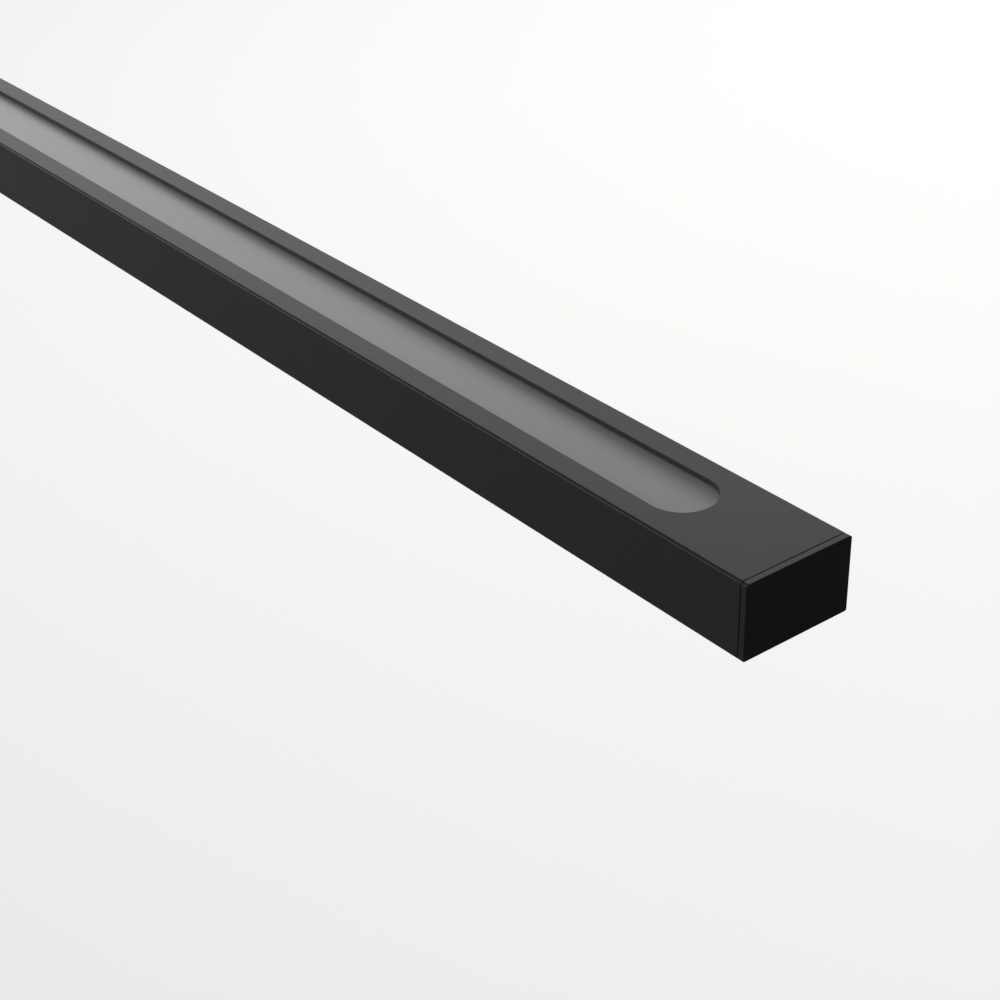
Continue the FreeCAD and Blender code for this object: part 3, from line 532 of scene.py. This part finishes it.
def board_spots(level):
    """Three screws per lamp board, the middle one on the other side of the lamps."""
    spots = []
    for number in (1, 2, 3):
        low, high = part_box(f"lamp_board_{number}")
        middle = (low[0] + high[0]) / 2
        spots += [(middle - 0.125, 0.0085, level), (middle, -0.0085, level), (middle + 0.125, 0.0085, level)]
    return spots


for node, head_below in (("board_screws", False), ("end_cap_screws", True), ("driver_screws", True),
                         ("terminal_block_screws", True), ("earth_screw", True)):
    low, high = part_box(node)
    seat = low[2] + HEAD_RISE * MM if head_below else high[2] - HEAD_RISE * MM
    shank = (high[2] - low[2]) / MM - HEAD_RISE
    screw = pan_head_screw(node + "_part", shank, head_below)
    spots = board_spots(seat) if node == "board_screws" else corner_spots(node, seat)
    group = repeat_on_spots(node + "_turned", screw, spots, zinc_screw)
    settle(group, "zinc_steel", node)

# %% [markdown]
# ## Headless screws
# Two more kinds have no head. The bracket's set screws are M4 with a hexagon socket and a cup
# point, and the terminal's clamp screws are small slotted ones. Both are cut from the same
# threaded rod idea: a profile, a punch, and a repeat.

# %% Make the headless screws
low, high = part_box("bracket_set_screws")
reach = (high[1] - low[1]) / MM
profile = [(0, 0.4), (0.7, 0), (1.2, 0)] + thread(1.95, 1.7, 0.3, reach - 0.3) + [(1.6, reach), (0, reach)]
set_screw = turn_profile("set_screw_part", profile, 24)
key_hole = [(0, reach - 1.5), (1.15, reach - 1.4), (1.15, reach + 1), (0, reach + 1)]
hexagon = turn_profile("hexagon", key_hole, 6)
set_screw = press(set_screw, hexagon, "set_screw_part")
set_screw.data.transform(Matrix.Rotation(-math.pi / 2, 4, "X"))
level = (low[2] + high[2]) / 2
set_spots = [(step * 0.3, low[1], level) for step in (-1, 0, 1)]
set_screws = repeat_on_spots("bracket_set_screws_turned", set_screw, set_spots, oxide_screw)
settle(set_screws, "black_oxide_steel", "bracket_set_screws")

low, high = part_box("terminal_clamp_screws")
reach = (high[2] - low[2]) / MM
profile = [(0, 0), (0.9, 0)] + thread(1.25, 1.05, 0.3, reach - 0.3, 0.45) + [(1.0, reach), (0, reach)]
clamp_screw = turn_profile("clamp_screw_part", profile, 20)
clamp_screw = press(clamp_screw, punch("slot_punch", 1, 3.0, 0.4, reach, 0.7), "clamp_screw_part")
clamp_screw.data.transform(Matrix.Rotation(math.pi, 4, "X"))
clamp_spots = [
    (x, y, high[2])
    for x in (low[0] + 1.25 * MM, high[0] - 1.25 * MM)
    for y in (low[1] + 1.25 * MM, 0.0, high[1] - 1.25 * MM)
]
clamp_screws = repeat_on_spots("terminal_clamp_screws_turned", clamp_screw, clamp_spots, zinc_screw)
settle(clamp_screws, "zinc_steel", "terminal_clamp_screws")

# %% [markdown]
# ## Lamp packages
# Along each board runs a row of small surface-mounted lamps. Each is a white moulded cup filled
# with yellow phosphor gel. The phosphor looks amber even when unlit. One package has a few dozen
# faces, and a tree of its own lays out the row: a line of points at the pitch, an instance on
# each, and two finishes. A face attribute says which faces are phosphor.

# %% One lamp package
def lamp_package():
    """A 3.5 x 2.8 x 0.8 mm package standing on Z = 0, phosphor faces marked by an attribute."""
    half_x, half_y = 1.75, 1.4
    corner = math.degrees(math.atan2(half_y, half_x))
    quarter = [0, corner, 66, 90, 114, 180 - corner]
    turns = [math.radians(turn) for turn in quarter + [turn + 180 for turn in quarter]]
    shape = bmesh.new()
    phosphor = shape.faces.layers.float.new("phosphor")
    edge = [min(half_x / max(abs(math.cos(t)), 1e-6), half_y / max(abs(math.sin(t)), 1e-6)) for t in turns]
    rings = [(edge, 0.0), (edge, 0.72), ([r - 0.08 for r in edge], 0.8), ([1.2] * 12, 0.8),
             ([1.05] * 12, 0.66), ([0.55] * 12, 0.7)]
    loops = [
        [shape.verts.new((r * MM * math.cos(t), r * MM * math.sin(t), z * MM)) for r, t in zip(radii, turns)]
        for radii, z in rings
    ]
    for index, (lower, upper) in enumerate(zip(loops, loops[1:])):
        for step in range(12):
            onward = (step + 1) % 12
            face = shape.faces.new((lower[step], lower[onward], upper[onward], upper[step]))
            face[phosphor] = 1.0 if index == 4 else 0.0
    shape.faces.new(loops[-1])[phosphor] = 1.0
    shape.faces.new(list(reversed(loops[0])))
    bmesh.ops.recalc_face_normals(shape, faces=shape.faces)
    mesh = bpy.data.meshes.new("lamp_package")
    shape.to_mesh(mesh)
    shape.free()
    package = bpy.data.objects.new("lamp_package", mesh)
    bpy.context.scene.collection.objects.link(package)
    return package


lamp_cup_finish = start_finish(
    "moulded_white_lamp_cup", ("#eeeeea", "#e6e6e1"), 1.0, (0.35, 0.5), 0.1, 0.003, IOR=1.53,
)[0]
phosphor_finish = start_finish(
    "phosphor_gel", ("#e8bf45", "#dcae34"), 0.3, (0.12, 0.3), 0.06, 0.01, IOR=1.43, Coat_Weight=0.4,
)[0]


# %% [markdown]
# ## A row of lamps
# One board carries a straight row of equal packages at one pitch. A loop could place them, but a
# node tree says the rule itself: points on a line, one package on each. Its first input is the
# modifier's own mesh, which is empty here and not used. The tree gives the cups and the gel
# their own finish, and makes the copies real.

# %% The row tree
def build_row_tree():
    tree = bpy.data.node_groups.new("lamp_row", "GeometryNodeTree")
    sockets = {}
    for name, kind in (("Board", "NodeSocketGeometry"), ("Package", "NodeSocketObject"),
                       ("Count", "NodeSocketInt"), ("Pitch", "NodeSocketFloat"),
                       ("First", "NodeSocketVector"), ("Cup", "NodeSocketMaterial"),
                       ("Phosphor", "NodeSocketMaterial")):
        sockets[name] = tree.interface.new_socket(name, in_out="INPUT", socket_type=kind).identifier
    tree.interface.new_socket("Result", in_out="OUTPUT", socket_type="NodeSocketGeometry")
    given = add(tree, "NodeGroupInput").outputs
    step = add(tree, "ShaderNodeCombineXYZ", {"X": given["Pitch"]}, out=0)
    line_inputs = {"Count": given["Count"], "Start Location": given["First"], "Offset": step}
    line = add(tree, "GeometryNodeMeshLine", line_inputs, out="Mesh")
    part = add(tree, "GeometryNodeObjectInfo", {"Object": given["Package"]}, out="Geometry")
    placed = add(tree, "GeometryNodeInstanceOnPoints", {"Points": line, "Instance": part}, out="Instances")
    real = add(tree, "GeometryNodeRealizeInstances", {"Geometry": placed}, out="Geometry")
    cup = add(tree, "GeometryNodeSetMaterial", {"Geometry": real, "Material": given["Cup"]}, out="Geometry")
    name = {"Name": "phosphor"}
    mark = add(tree, "GeometryNodeInputNamedAttribute", name, out="Attribute", data_type="FLOAT")
    gel_inputs = {"Geometry": cup, "Selection": mark, "Material": given["Phosphor"]}
    gel = add(tree, "GeometryNodeSetMaterial", gel_inputs, out="Geometry")
    add(tree, "NodeGroupOutput", {"Result": gel})
    return tree, sockets


row_tree, row_sockets = build_row_tree()
CHIP_PITCH = 0.0071
CHIP_COUNT = 39

for number in (1, 2, 3):
    node = f"lamp_chips_{number}"
    low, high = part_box(node)
    package = lamp_package()
    row_name = f"lamp_row_{number}"
    holder = bpy.data.objects.new(row_name, bpy.data.meshes.new(row_name))
    bpy.context.scene.collection.objects.link(holder)
    modifier = holder.modifiers.new("row", "NODES")
    modifier.node_group = row_tree
    settings = {"Package": package, "Count": CHIP_COUNT, "Pitch": CHIP_PITCH,
                "First": (low[0] + 1.75 * MM, 0.0, low[2]),
                "Cup": lamp_cup_finish, "Phosphor": phosphor_finish}
    for name, value in settings.items():
        modifier[row_sockets[name]] = value
    row = baked(holder, row_name)
    bpy.data.objects.remove(package)
    settle(row, "lamp_chip", node)

# %% [markdown]
# ## Rubber bushes
# A bush lines each hole that wires pass through, so that no sheet edge can cut them. It is a
# ring with a groove for the sheet, moulded with rounded flanges, so it is turned from a closed
# profile. The front flange is slimmer in shape where it was pushed through.

# %% Make the bushes
def bush(node, name, bore, neck, flange_rise):
    """A grooved rubber ring in the space that the CAD solid holds."""
    low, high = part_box(node)
    outer = (high[0] - low[0]) / MM / 2
    bottom, top = low[2] / MM, high[2] / MM
    soft = 0.35 * flange_rise
    profile = [
        (bore + soft, bottom), (outer - soft, bottom), (outer, bottom + soft),
        (outer, bottom + flange_rise - soft * 0.6), (outer - soft * 0.6, bottom + flange_rise),
        (neck, bottom + flange_rise), (neck, top - flange_rise),
        (outer - soft * 1.6, top - flange_rise), (outer - soft, top - flange_rise + soft * 0.6),
        (outer - soft * 1.8, top - soft * 0.5), (outer - soft * 3, top),
        (bore + soft, top), (bore, top - soft), (bore, bottom + soft),
    ]
    ring = turn_profile(name, profile, 48, ring=True)
    middle = ((low[0] + high[0]) / 2, (low[1] + high[1]) / 2, 0)
    ring.data.transform(Matrix.Translation(middle))
    ring.data.materials.append(rubber_finish)
    settle(ring, "black_rubber", node)


bush("cable_grommet", "cable_bush", 5.0, 8.0, 1.4)
bush("lead_grommet", "lead_bush", 2.4, 3.5, 1.0)

# %% [markdown]
# ## Capacitor cans and chokes
# A capacitor is an aluminium can in a shrunk sleeve. The can is rolled in near its open end,
# which leaves a groove, and the sleeve leaves a small bare disc at the other end. A choke is a
# ferrite bobbin wound with enamelled wire. Both are turned, then laid where the CAD solids lie.

# %% Make the cans
low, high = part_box("driver_capacitor_drums")
radius = 3.1
can_level = (low[2] + high[2]) / 2 / MM
cans = []
for start, length, offset in ((192, 16, 7), (252, 14, -6)):
    groove = length - 2.6
    profile = [
        (0, 0.15), (2.3, 0.15), (2.3, 0), (2.8, 0), (radius, 0.35), (radius, groove),
        (radius - 0.35, groove + 0.45), (radius - 0.35, groove + 0.75), (radius, groove + 1.2),
        (radius, length - 0.3), (radius - 0.3, length), (2.4, length), (2.3, length - 0.3), (0, length - 0.3),
    ]
    can = turn_profile("can", profile, 40)
    can.data.transform(Matrix.Rotation(math.pi / 2, 4, "Y"))
    can.data.transform(Matrix.Translation(Vector((start, offset, can_level)) * MM))
    cans.append(can)
joined = bmesh.new()
for can in cans:
    joined.from_mesh(can.data)
    bpy.data.objects.remove(can)
can_mesh = bpy.data.meshes.new("capacitor_cans")
joined.to_mesh(can_mesh)
joined.free()
capacitors = bpy.data.objects.new("capacitor_cans", can_mesh)
bpy.context.scene.collection.objects.link(capacitors)
can_mesh.materials.append(sleeve_finish)
settle(capacitors, "drum_sleeve", "driver_capacitor_drums")

# %% [markdown]
# The chokes stand upright on the board, so they need no turning over. Ridges in the profile,
# 0.6 mm apart, stand for the turns of enamelled wire between the two ferrite flanges.

# %% Make the chokes
low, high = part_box("driver_chokes")
flange, rise, ridge = 1.1, (high[2] - low[2]) / MM, 0.6
rim, shoulder, valley, crest = 4.95, 4.75, 4.0, 4.35
winding = [(valley if step % 2 else crest, flange + step * ridge / 2) for step in range(1, 11)]
choke_profile = [(0, 0), (shoulder, 0), (rim, 0.2), (rim, flange - 0.2), (shoulder, flange), (valley, flange)]
choke_profile += winding
choke_profile += [(valley, rise - flange), (shoulder, rise - flange), (rim, rise - flange + 0.2),
                  (rim, rise - 0.2), (shoulder, rise), (0, rise)]
choke = turn_profile("choke_part", choke_profile, 40)
choke.data.materials.append(ferrite_finish)
choke_spots = [(low[0] + 5.5 * MM, -0.004, low[2]), (high[0] - 6 * MM, 0.0, low[2])]
chokes = repeat_on_spots("wound_chokes", choke, choke_spots, ferrite_finish)
chokes.data.materials.append(enamel_finish)
for face in chokes.data.polygons:
    level = face.center.z - low[2]
    wound = flange * MM < level < (rise - flange) * MM and math.hypot(face.normal.x, face.normal.y) > 0.3
    face.material_index = 1 if wound else 0
settle(chokes, "ferrite", "driver_chokes")

# %% [markdown]
# ## Moulded and stacked blocks
# Transformers, chips, fuses and plug links are stacks of rounded blocks: a moulded body, metal
# legs, a strip of tape. One helper builds such a stack from its corners, gives each block its
# finish, and rounds the edges with a Bevel modifier. The radius is the mould's own corner radius.

# %% The block builder
def block_stack(name, rows, radius, segments=3):
    """One rounded mesh from (low corner, high corner, finish) rows in millimetres."""
    shape = bmesh.new()
    finishes = []
    for low, high, finish in rows:
        if finish not in finishes:
            finishes.append(finish)
        middle = [(a + b) / 2 * MM for a, b in zip(low, high)]
        sides = [(b - a) * MM for a, b in zip(low, high)]
        size_and_place = Matrix.Translation(middle) @ Matrix.Diagonal(sides + [1.0])
        verts = bmesh.ops.create_cube(shape, size=1.0, matrix=size_and_place)["verts"]
        for face in {face for vert in verts for face in vert.link_faces}:
            face.material_index = finishes.index(finish)
    mesh = bpy.data.meshes.new(name)
    shape.to_mesh(mesh)
    shape.free()
    for finish in finishes:
        mesh.materials.append(finish)
    stack = bpy.data.objects.new(name, mesh)
    bpy.context.scene.collection.objects.link(stack)
    bevel = stack.modifiers.new("corner_radius", "BEVEL")
    bevel.width = radius * MM
    bevel.segments = segments
    bevel.limit_method = "ANGLE"
    return baked(stack, name)


def box_mm(node):
    """A node's corners in millimetres."""
    return [[part / MM for part in corner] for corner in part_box(node)]


# %% [markdown]
# The transformer is a coil under yellow tape between the outer legs of a ferrite core, on a
# black bobbin whose two end bars carry the pins. Six blocks and ten pins are enough to read so.

# %% Make the transformer
(x0, y0, z0), (x1, y1, z1) = box_mm("driver_transformer")
rows = [
    ((x0 + 3.2, y0, z0 + 0.9), (x1 - 3.2, y1, z1 - 1.3), tape_finish),
    ((x0, y0 + 2.5, z0), (x1, y1 - 2.5, z0 + 1.4), ferrite_finish),
    ((x0, y0 + 2.5, z0 + 0.4), (x0 + 2.9, y1 - 2.5, z1 - 0.8), ferrite_finish),
    ((x1 - 2.9, y0 + 2.5, z0 + 0.4), (x1, y1 - 2.5, z1 - 0.8), ferrite_finish),
    ((x0 + 1.0, y0 + 0.3, z1 - 1.5), (x1 - 1.0, y0 + 3.0, z1 - 0.5), epoxy_finish),
    ((x0 + 1.0, y1 - 3.0, z1 - 1.5), (x1 - 1.0, y1 - 0.3, z1 - 0.5), epoxy_finish),
]
for step in range(5):
    pin = x0 + 2.5 + 3.75 * step
    for y in (y0 + 1.2, y1 - 1.2):
        rows.append(((pin - 0.3, y - 0.3, z1 - 0.9), (pin + 0.3, y + 0.3, z1), tin_finish))
transformer = block_stack("wound_transformer", rows, 0.25)
settle(transformer, "yellow_tape", "driver_transformer")

# %% [markdown]
# A switching chip has a flat moulded body and four bent legs on each side. A dipped film
# capacitor has no sharp edge at all, because the wet epoxy pulls itself round. That is only a
# larger corner radius on the same builder.

# %% Make the chips, film capacitors and fuse
low, high = box_mm("driver_switching_chips")
LEG_PITCH = 1.27
LEGS_A_SIDE = 4
CHIP_PLACES = ((209, 2), (240, -9))
rows = []
for x, y in CHIP_PLACES:
    rows.append(((x + 0.6, y, low[2]), (x + 4.4, y + 6, high[2] - 0.15), epoxy_finish))
    for leg in range(LEGS_A_SIDE):
        foot = y + 1.1 + LEG_PITCH * leg
        for side in (x, x + 4.3):
            rows.append(((side, foot - 0.2, high[2] - 0.25), (side + 0.7, foot + 0.2, high[2]), tin_finish))
chips = block_stack("switching_chips", rows, 0.08, 2)
settle(chips, "chip_epoxy", "driver_switching_chips")

low, high = box_mm("driver_film_capacitors")
FILM_PLACES = ((172, 2, 13, 6), (188, -10, 6, 9), (246, 2, 10, 4.5))
rows = []
for x, y, run, width in FILM_PLACES:
    rows.append(((x, y, low[2]), (x + run, y + width, high[2] - 0.5), film_finish))
    ends = ((x + 2, y + width / 2), (x + run - 2, y + width / 2))
    for pin_x, pin_y in ends if run > width else ((x + 3, y + 2), (x + 3, y + 7)):
        foot = (pin_x - 0.3, pin_y - 0.3, high[2] - 1)
        rows.append((foot, (pin_x + 0.3, pin_y + 0.3, high[2]), tin_finish))
film_capacitors = block_stack("dipped_film_capacitors", rows, 1.2, 5)
settle(film_capacitors, "capacitor_epoxy", "driver_film_capacitors")

(x0, y0, z0), (x1, y1, z1) = box_mm("driver_fuse")
rows = [((x0, y0, z0), (x1, y1, z1 - 0.3), fuse_finish)]
rows += [((x - 0.3, 6.7, z1 - 0.6), (x + 0.3, 7.3, z1), tin_finish) for x in (x0 + 1.5, x1 - 1.5)]
fuse = block_stack("board_fuse", rows, 0.4)
settle(fuse, "fuse_shell", "driver_fuse")

# %% [markdown]
# ## Links between the lamp boards
# A plug link bridges each gap between two boards. Its moulded shell has a rib down the middle to
# pull it by, and two tinned contacts that show at each end.

# %% Make the links
(x0, y0, z0), (x1, y1, z1) = box_mm("board_links")
LINK_LENGTH = 10
rows = []
for start in (x0, x1 - LINK_LENGTH):
    rows.append(((start, y0, z0 + 0.3), (start + LINK_LENGTH, y1, z1 - 0.6), nylon_finish))
    rows.append(((start + 3.5, y0 + 0.4, z1 - 0.8), (start + 6.5, y1 - 0.4, z1), nylon_finish))
    for contact_y in (y0 + 1.3, y1 - 1.3):
        near = (start + 0.2, contact_y - 0.4, z0)
        far = (start + LINK_LENGTH - 0.2, contact_y + 0.4, z0 + 0.6)
        rows.append((near, far, tin_finish))
links = block_stack("plug_links", rows, 0.3)
settle(links, "white_nylon", "board_links")

# %% [markdown]
# ## Soft studio light
# The light is all in the world: a wide soft panel low behind the bar's left end, a second,
# weaker one at the front left, a low one behind the right end, and only a faint glow overhead.
# Lamps could do this too, but a satin black object shows little except what it reflects, and a
# sky has no lamp edges to reflect. Each quarter of the sky has its own brightness at ten
# heights, and the quarters melt into each other. Whoever looks at the background itself sees a
# plain pale grey.

# %% Build the studio
SKY_STEPS = (-1.0, -0.56, -0.26, -0.03, 0.03, 0.15, 0.3, 0.55, 0.8, 1.0)
SKY_QUARTERS = {
    "left_back": (0.0, 0.0, 0.0, 0.0, 0.0, 8.3, 2.4, 0.0, 0.3, 0.3),
    "left_front": (0.0, 0.0, 0.6, 0.0, 0.0, 3.4, 5.0, 2.0, 0.3, 0.3),
    "right_back": (0.0, 0.05, 0.0, 0.0, 0.0, 3.4, 0.0, 0.0, 0.3, 0.3),
    "right_front": (0.0, 0.0, 0.0, 0.0, 0.0, 0.0, 0.0, 0.0, 0.3, 0.3),
}
BRIGHTEST = 9.0
PALE_BACKGROUND = linear("#ecece9")

world = bpy.data.worlds.new("studio")
bpy.context.scene.world = world
world.use_nodes = True
sky = world.node_tree
sky.nodes.clear()
toward = add(sky, "ShaderNodeTexCoord", out="Generated")
axes = add(sky, "ShaderNodeSeparateXYZ", {0: toward}).outputs
height = add(sky, "ShaderNodeMapRange", {0: axes["Z"], "From Min": -1.0, "From Max": 1.0}, out=0)
half_way = {"From Min": -0.6, "From Max": 0.6}
leftness = {0: axes["X"], "To Min": 1.0, "To Max": 0.0, **half_way}
left = add(sky, "ShaderNodeMapRange", leftness, out=0, interpolation_type="SMOOTHSTEP")
back = add(sky, "ShaderNodeMapRange", {0: axes["Y"], **half_way}, out=0, interpolation_type="SMOOTHSTEP")
bands = {}
for quarter, levels in SKY_QUARTERS.items():
    ramp = add(sky, "ShaderNodeValToRGB", {0: height})
    stops = ramp.color_ramp.elements
    stops.remove(stops[1])
    for step, level in zip(SKY_STEPS, levels):
        stop = stops[0] if step == SKY_STEPS[0] else stops.new((step + 1) / 2)
        stop.position = (step + 1) / 2
        stop.color = [level / BRIGHTEST] * 3 + [1.0]
    bands[quarter] = ramp.outputs[0]
front_part = add(sky, "ShaderNodeMix", {0: left, 2: bands["right_front"], 3: bands["left_front"]}, out=0)
back_part = add(sky, "ShaderNodeMix", {0: left, 2: bands["right_back"], 3: bands["left_back"]}, out=0)
whole = add(sky, "ShaderNodeMix", {0: back, 2: front_part, 3: back_part}, out=0)
strength = add(sky, "ShaderNodeMath", {0: whole, 1: BRIGHTEST}, out=0, operation="MULTIPLY")
light = add(sky, "ShaderNodeBackground", {"Strength": strength}, out=0)
backdrop = add(sky, "ShaderNodeBackground", {"Color": PALE_BACKGROUND}, out=0)
looked_at = add(sky, "ShaderNodeLightPath", out="Is Camera Ray")
surround = add(sky, "ShaderNodeMixShader", {0: looked_at, 1: light, 2: backdrop}, out=0)
add(sky, "ShaderNodeOutputWorld", {"Surface": surround})
print("studio sky:", len(SKY_QUARTERS), "quarters of", len(SKY_STEPS), "heights")

# %% [markdown]
# ## Pale floor
# The bar hangs 0.45 m above a plain pale floor. Its emission paints a soft pool of light on
# it, brightest behind the bar and fading to nearly the tone of the backdrop; no lamp makes it.
# No edge shows from the front, but from behind the floor's far side is a line near the top of
# the picture. A lit white plane would do too, but the floor must not light the bar or block its
# light: then the black shell keeps its contrast.

# %% Lay the floor
FLOOR_LEVEL = -0.45
FLOOR_REACH = 40.0
# Centre and reach of the pool of light painted into the floor's emission.
PAINTED_LIGHT_POOL_MIDDLE = (-0.48, 2.05, FLOOR_LEVEL)
PAINTED_LIGHT_POOL_RADIUS = 3.9

corners = [(x, y, FLOOR_LEVEL) for x, y in ((-1, -1), (1, -1), (1, 1), (-1, 1))]
floor_mesh = bpy.data.meshes.new("floor")
floor_mesh.from_pydata([(x * FLOOR_REACH, y * FLOOR_REACH, z) for x, y, z in corners], [], [(0, 1, 2, 3)])
floor = bpy.data.objects.new("floor", floor_mesh)
bpy.context.scene.collection.objects.link(floor)
pale, tree, shader, place, colour, relief = start_finish(
    "pale_studio_floor", ("#e6e6e4", "#e8e8e6"), 900.0, (0.85, 0.95), 40.0, 0.01, Specular_IOR_Level=0.1,
)
# The emission falls off with distance from a point behind the bar: a painted pool of light.
away = add(tree, "ShaderNodeVectorMath", {0: place, 1: PAINTED_LIGHT_POOL_MIDDLE}, out="Value", operation="DISTANCE")
share = add(tree, "ShaderNodeMath", {0: away, 1: PAINTED_LIGHT_POOL_RADIUS}, out=0, operation="DIVIDE")
squared = add(tree, "ShaderNodeMath", {0: share, 1: 2.0}, out=0, operation="POWER")
painted_pool_range = {0: squared, "From Max": 0.42, "To Min": 0.565, "To Max": 0.33}
painted_pool_strength = add(tree, "ShaderNodeMapRange", painted_pool_range, out=0)
tree.links.new(painted_pool_strength, shader.inputs["Emission Strength"])
shader.inputs["Emission Color"].default_value = linear("#fdfdfb")
floor_mesh.materials.append(pale)
floor.visible_glossy = False
floor.visible_diffuse = False
floor.visible_shadow = False
bpy.context.scene.view_settings.view_transform = "Standard"
print("floor at", FLOOR_LEVEL, "m")
